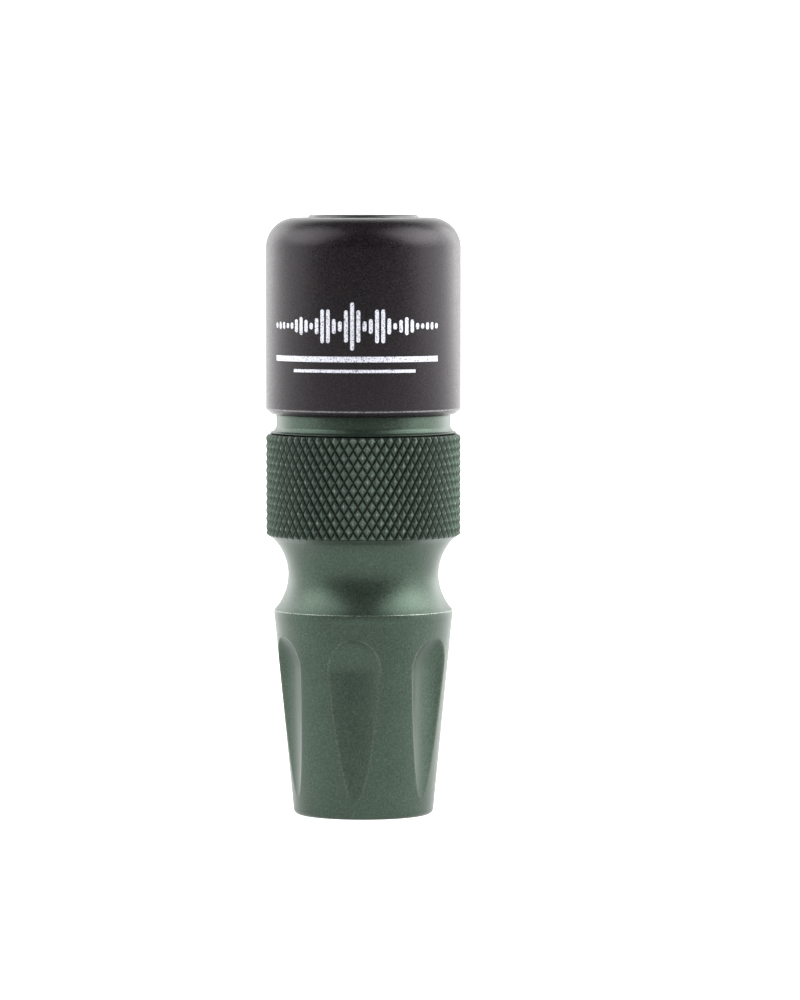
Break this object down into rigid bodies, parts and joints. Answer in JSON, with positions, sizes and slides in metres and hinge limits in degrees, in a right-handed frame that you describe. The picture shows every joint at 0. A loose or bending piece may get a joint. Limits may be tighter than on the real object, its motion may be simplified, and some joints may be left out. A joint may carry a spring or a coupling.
{
  "type": "grunt tube call",
  "caption": "Hand-held game call with a knurled, fluted barrel, a screwed-in neck, a push-on mouthpiece and a plug-in reed cartridge.",
  "frame": {"origin": "centre of the exhaust end's flat face, on the call's axis", "axes": "+Z along the call's axis from the exhaust end to the mouthpiece, -Y towards the front that carries the printed motif and the reed's flat"},
  "size_m": [0.0318, 0.0318, 0.0976],
  "materials": {
    "green_anodised": "bead-blasted and dyed olive green, satin",
    "soft_touch_black": "soft-touch, fine speckled matte",
    "liner_black": "moulded satin",
    "seal_rubber": "smooth matte",
    "holder_plastic": "semi-gloss",
    "board_plastic": "semi-gloss",
    "reed_film": "smooth translucent film",
    "wedge_cork": "fine cork",
    "tuning_rubber": "smooth matte"
  },
  "bodies": {
    "barrel": {"barrel": "green_anodised"},
    "seal": {"barrel_seal_ring": "seal_rubber"},
    "neck": {"threaded_neck": "green_anodised"},
    "neck_seals": {"neck_o_ring_lower": "seal_rubber", "neck_o_ring_upper": "seal_rubber"},
    "mouthpiece": {"mouthpiece_grip": "soft_touch_black", "mouthpiece_liner": "liner_black"},
    "cartridge": {"reed_holder": "holder_plastic", "holder_o_ring_lower": "seal_rubber", "holder_o_ring_upper": "seal_rubber", "tone_board": "board_plastic", "reed": "reed_film", "reed_wedge": "wedge_cork"},
    "tuning": {"tuning_ring": "tuning_rubber"}
  },
  "joints": [
    {"name": "neck_screw", "type": "hinge", "parent": "barrel", "child": "seal", "pos_m": [0, 0, 0.062], "axis": [0, 0, 1], "range_deg": [0, 1800]},
    {"name": "neck_lift", "type": "slide", "parent": "seal", "child": "neck", "axis": [0, 0, 1], "range_m": [0, 0.0076]},
    {"name": "mouthpiece_turn", "type": "hinge", "parent": "neck", "child": "neck_seals", "pos_m": [0, 0, 0.075], "axis": [0, 0, 1], "continuous": true},
    {"name": "mouthpiece_pull", "type": "slide", "parent": "neck_seals", "child": "mouthpiece", "axis": [0, 0, 1], "range_m": [0, 0.03]},
    {"name": "cartridge_pull", "type": "slide", "parent": "neck", "child": "cartridge", "axis": [0, 0, 1], "range_m": [0, 0.014]},
    {"name": "tuning_slide", "type": "slide", "parent": "cartridge", "child": "tuning", "axis": [0, 0, 1], "range_m": [-0.005, 0.008]}
  ],
  "couplings": [
    {"joint": "neck_lift", "follows": "neck_screw", "m_per_rad": 0.00023873}
  ]
}
